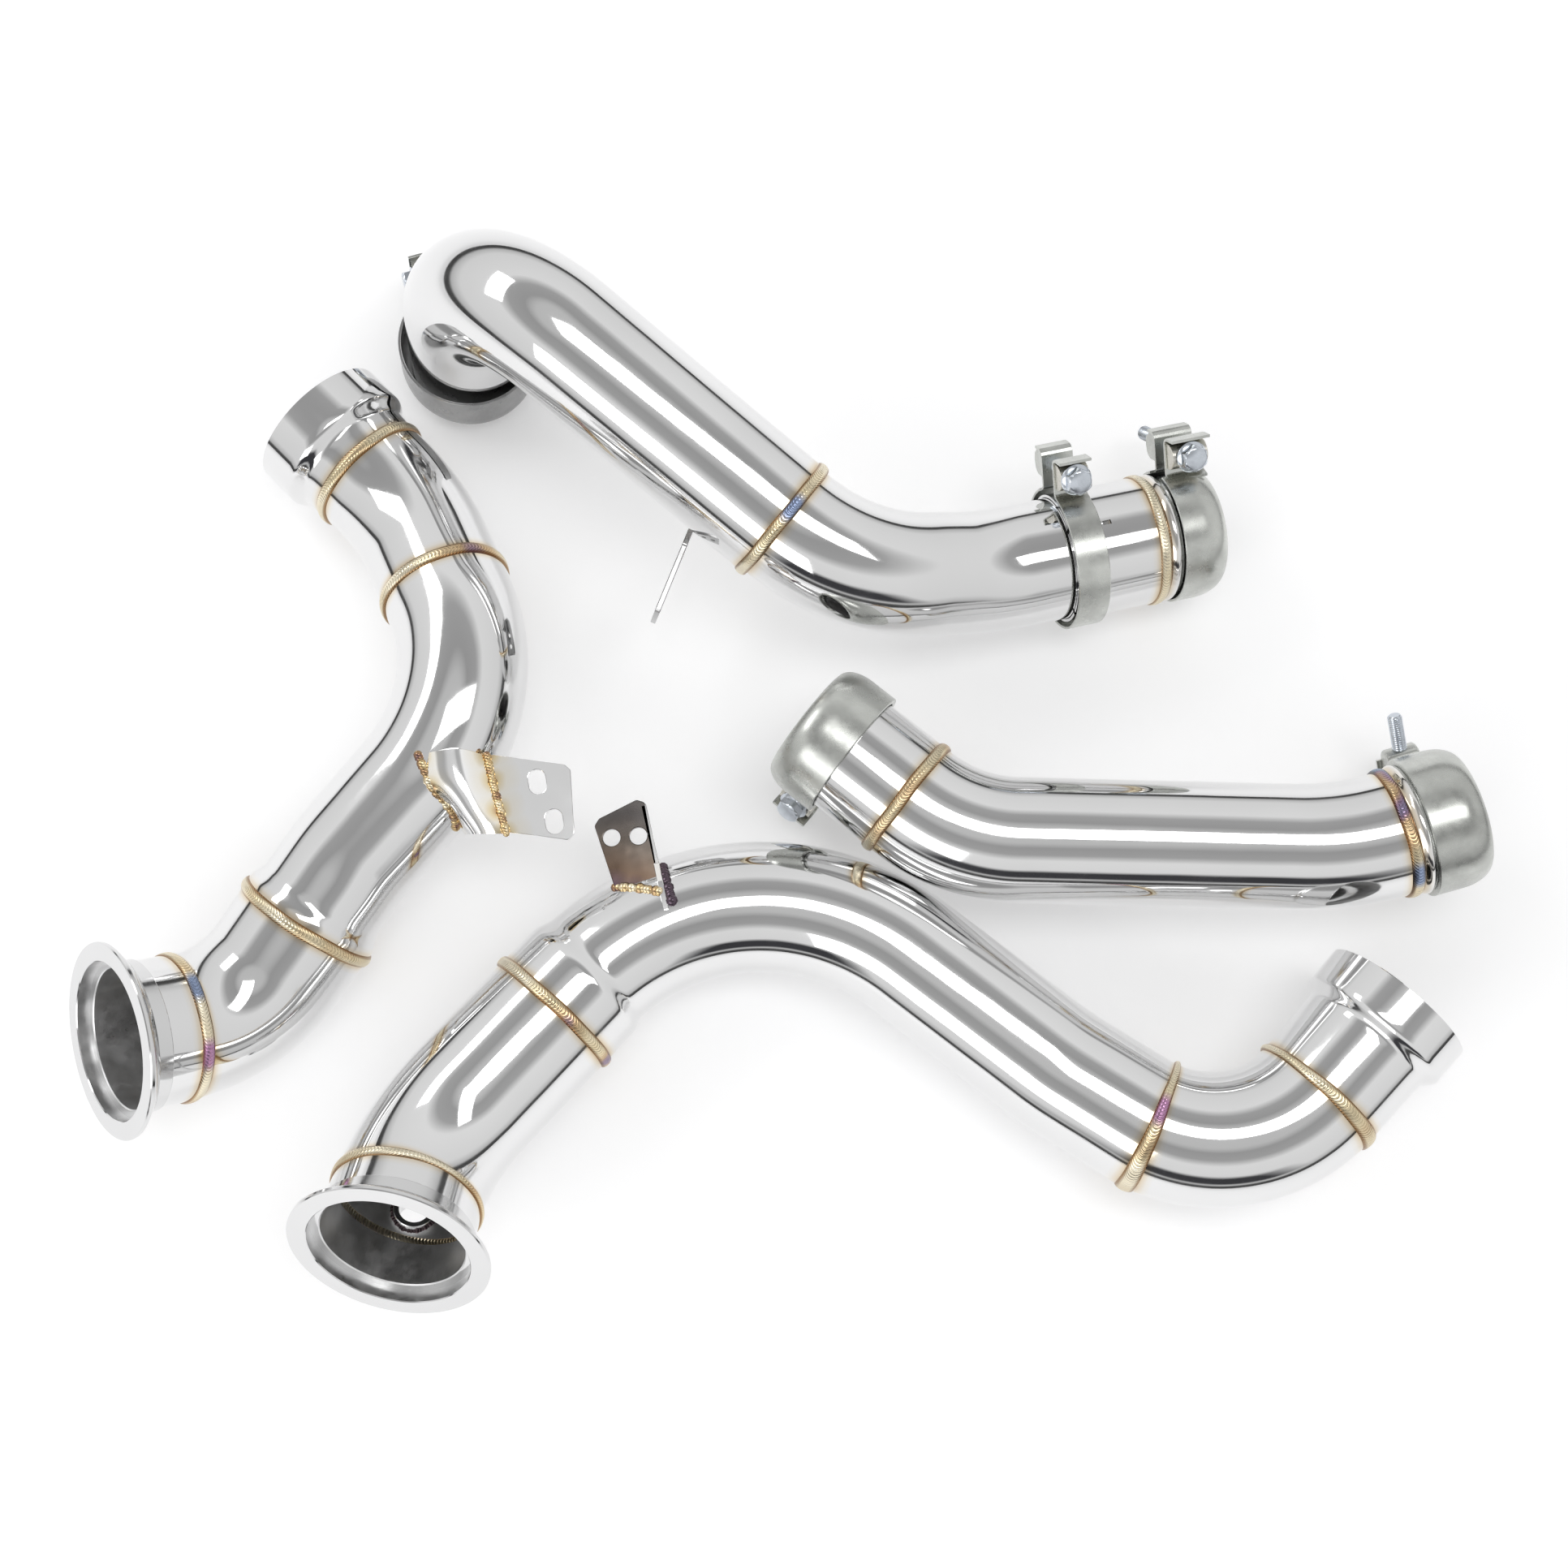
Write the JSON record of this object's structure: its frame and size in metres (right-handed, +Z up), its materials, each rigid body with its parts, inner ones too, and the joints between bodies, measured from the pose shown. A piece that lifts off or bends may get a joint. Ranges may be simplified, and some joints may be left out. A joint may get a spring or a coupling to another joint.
{
  "type": "racing exhaust system",
  "caption": "Polished stainless downpipe and mid pipe set for a twin turbo engine, with V-band flanges, slip sockets, brackets and band clamps, laid out loose.",
  "frame": {"origin": "bottom centre of the box round the whole loose layout, on the surface it lies on", "axes": "+Z up, +X to the right and +Y away from the viewer as the set is laid out"},
  "size_m": [0.7454, 0.595, 0.1615],
  "materials": {
    "polished_steel": "mirror polished stainless steel",
    "weld": "straw tinted weld bead",
    "satin_steel": "satin rolled stainless steel",
    "spacer_steel": "sintered steel bar",
    "zinc_bolt": "blue zinc plated"
  },
  "bodies": {
    "front_downpipe": {"d_flange": "polished_steel", "d_spigot": "polished_steel", "d_bead_4": "weld", "d_bead_3": "weld", "d_reducer": "polished_steel", "d_bend": "polished_steel", "d_bead_2": "weld", "d_kick": "polished_steel", "d_bead_1": "weld", "d_socket": "polished_steel", "d_elbow": "polished_steel", "d_sensor_boss": "polished_steel", "d_bracket": "polished_steel"},
    "rear_downpipe": {"a_flange": "polished_steel", "a_spigot": "polished_steel", "a_bead_4": "weld", "a_bead_3": "weld", "a_reducer": "polished_steel", "a_bend": "polished_steel", "a_bead_2": "weld", "a_kick": "polished_steel", "a_bead_1": "weld", "a_socket": "polished_steel", "a_elbow": "polished_steel", "a_bracket_plate": "polished_steel", "a_bracket_strap": "polished_steel"},
    "rear_mid_pipe": {"b_inlet": "polished_steel", "b_bead_1": "weld", "b_bend": "polished_steel", "b_bead_2": "weld", "b_outlet": "polished_steel", "b_slip_sleeve": "polished_steel", "b_hanger": "polished_steel"},
    "short_mid_pipe": {"c_inlet": "polished_steel", "c_bead_1": "weld", "c_main": "polished_steel", "c_bead_2": "weld", "c_outlet": "polished_steel"},
    "b_inlet_clamp": {"b_inlet_clamp_band": "satin_steel", "b_inlet_clamp_spacer": "spacer_steel"},
    "b_inlet_clamp_bolt": {"b_inlet_clamp_bolt": "zinc_bolt"},
    "b_inlet_clamp_nut_block": {"b_inlet_clamp_block": "satin_steel"},
    "b_loose_clamp": {"b_loose_clamp_band": "satin_steel", "b_loose_clamp_spacer": "spacer_steel"},
    "b_loose_clamp_bolt": {"b_loose_clamp_bolt": "zinc_bolt"},
    "b_loose_clamp_nut_block": {"b_loose_clamp_block": "satin_steel"},
    "b_outlet_clamp": {"b_outlet_clamp_band": "satin_steel", "b_outlet_clamp_spacer": "spacer_steel"},
    "b_outlet_clamp_bolt": {"b_outlet_clamp_bolt": "zinc_bolt"},
    "b_outlet_clamp_nut_block": {"b_outlet_clamp_block": "satin_steel"},
    "c_inlet_clamp": {"c_inlet_clamp_band": "satin_steel", "c_inlet_clamp_spacer": "spacer_steel"},
    "c_inlet_clamp_bolt": {"c_inlet_clamp_bolt": "zinc_bolt"},
    "c_inlet_clamp_nut_block": {"c_inlet_clamp_block": "satin_steel"},
    "c_outlet_clamp": {"c_outlet_clamp_band": "satin_steel", "c_outlet_clamp_spacer": "spacer_steel"},
    "c_outlet_clamp_bolt": {"c_outlet_clamp_bolt": "zinc_bolt"},
    "c_outlet_clamp_nut_block": {"c_outlet_clamp_block": "satin_steel"}
  },
  "joints": [
    {"name": "lift_off_rear_downpipe", "type": "slide", "parent": "front_downpipe", "child": "rear_downpipe", "axis": [0, 0, 1], "range_m": [0, 0.3]},
    {"name": "lift_off_rear_mid_pipe", "type": "slide", "parent": "front_downpipe", "child": "rear_mid_pipe", "axis": [0, 0, 1], "range_m": [0, 0.3]},
    {"name": "lift_off_short_mid_pipe", "type": "slide", "parent": "front_downpipe", "child": "short_mid_pipe", "axis": [0, 0, 1], "range_m": [0, 0.3]},
    {"name": "b_inlet_clamp_turn", "type": "hinge", "parent": "rear_mid_pipe", "child": "b_inlet_clamp", "pos_m": [-0.17844, 0.23436, 0.02168], "axis": [0.1162, 0.0141, 0.9931], "range_deg": [-15, 15]},
    {"name": "b_inlet_clamp_bolt_turn", "type": "hinge", "parent": "b_inlet_clamp", "child": "b_inlet_clamp_bolt", "pos_m": [-0.19434, 0.2805, 0.02993], "axis": [0.9328, 0.342, -0.114], "range_deg": [0, 720]},
    {"name": "b_inlet_clamp_nut_travel", "type": "slide", "parent": "b_inlet_clamp", "child": "b_inlet_clamp_nut_block", "axis": [0.9328, 0.342, -0.114], "range_m": [0, 0.0025]},
    {"name": "b_loose_clamp_slide", "type": "slide", "parent": "rear_mid_pipe", "child": "b_loose_clamp", "axis": [0.9653, 0.2388, -0.1058], "range_m": [0, 0.012]},
    {"name": "b_loose_clamp_bolt_turn", "type": "hinge", "parent": "b_loose_clamp", "child": "b_loose_clamp_bolt", "pos_m": [0.15389, 0.14432, 0.07538], "axis": [-0.2288, 0.5776, -0.7836], "range_deg": [0, 720]},
    {"name": "b_loose_clamp_nut_travel", "type": "slide", "parent": "b_loose_clamp", "child": "b_loose_clamp_nut_block", "axis": [-0.2288, 0.5776, -0.7836], "range_m": [0, 0.0025]},
    {"name": "b_outlet_clamp_turn", "type": "hinge", "parent": "rear_mid_pipe", "child": "b_outlet_clamp", "pos_m": [0.2248, 0.12168, 0.03799], "axis": [0.9653, 0.2388, -0.1058], "range_deg": [-15, 15]},
    {"name": "b_outlet_clamp_bolt_turn", "type": "hinge", "parent": "b_outlet_clamp", "child": "b_outlet_clamp_bolt", "pos_m": [0.21883, 0.15969, 0.06463], "axis": [-0.2219, 0.536, -0.8146], "range_deg": [0, 720]},
    {"name": "b_outlet_clamp_nut_travel", "type": "slide", "parent": "b_outlet_clamp", "child": "b_outlet_clamp_nut_block", "axis": [-0.2219, 0.536, -0.8146], "range_m": [0, 0.0025]},
    {"name": "c_inlet_clamp_turn", "type": "hinge", "parent": "short_mid_pipe", "child": "c_inlet_clamp", "pos_m": [0.02767, -0.00052, 0.06015], "axis": [-0.7815, 0.6233, 0.0279], "range_deg": [0, 15]},
    {"name": "c_inlet_clamp_bolt_turn", "type": "hinge", "parent": "c_inlet_clamp", "child": "c_inlet_clamp_bolt", "pos_m": [0.0182, -0.01767, 0.01665], "axis": [0.5608, 0.7213, -0.4066], "range_deg": [0, 720]},
    {"name": "c_inlet_clamp_nut_travel", "type": "slide", "parent": "c_inlet_clamp", "child": "c_inlet_clamp_nut_block", "axis": [0.5608, 0.7213, -0.4066], "range_m": [0, 0.0025]},
    {"name": "c_outlet_clamp_turn", "type": "hinge", "parent": "short_mid_pipe", "child": "c_outlet_clamp", "pos_m": [0.34902, -0.04552, 0.0624], "axis": [0.9585, 0.268, 0.0975], "range_deg": [0, 20]},
    {"name": "c_outlet_clamp_bolt_turn", "type": "hinge", "parent": "c_outlet_clamp", "child": "c_outlet_clamp_bolt", "pos_m": [0.34486, -0.01839, 0.02363], "axis": [-0.2745, 0.7738, 0.5708], "range_deg": [0, 720]},
    {"name": "c_outlet_clamp_nut_travel", "type": "slide", "parent": "c_outlet_clamp", "child": "c_outlet_clamp_nut_block", "axis": [-0.2745, 0.7738, 0.5708], "range_m": [0, 0.0025]}
  ],
  "couplings": [
    {"joint": "b_inlet_clamp_bolt_turn", "follows": "b_inlet_clamp_nut_travel", "rad_per_m": 5026.5},
    {"joint": "b_loose_clamp_bolt_turn", "follows": "b_loose_clamp_nut_travel", "rad_per_m": 5026.5},
    {"joint": "b_outlet_clamp_bolt_turn", "follows": "b_outlet_clamp_nut_travel", "rad_per_m": 5026.5},
    {"joint": "c_inlet_clamp_bolt_turn", "follows": "c_inlet_clamp_nut_travel", "rad_per_m": 5026.5},
    {"joint": "c_outlet_clamp_bolt_turn", "follows": "c_outlet_clamp_nut_travel", "rad_per_m": 5026.5}
  ]
}
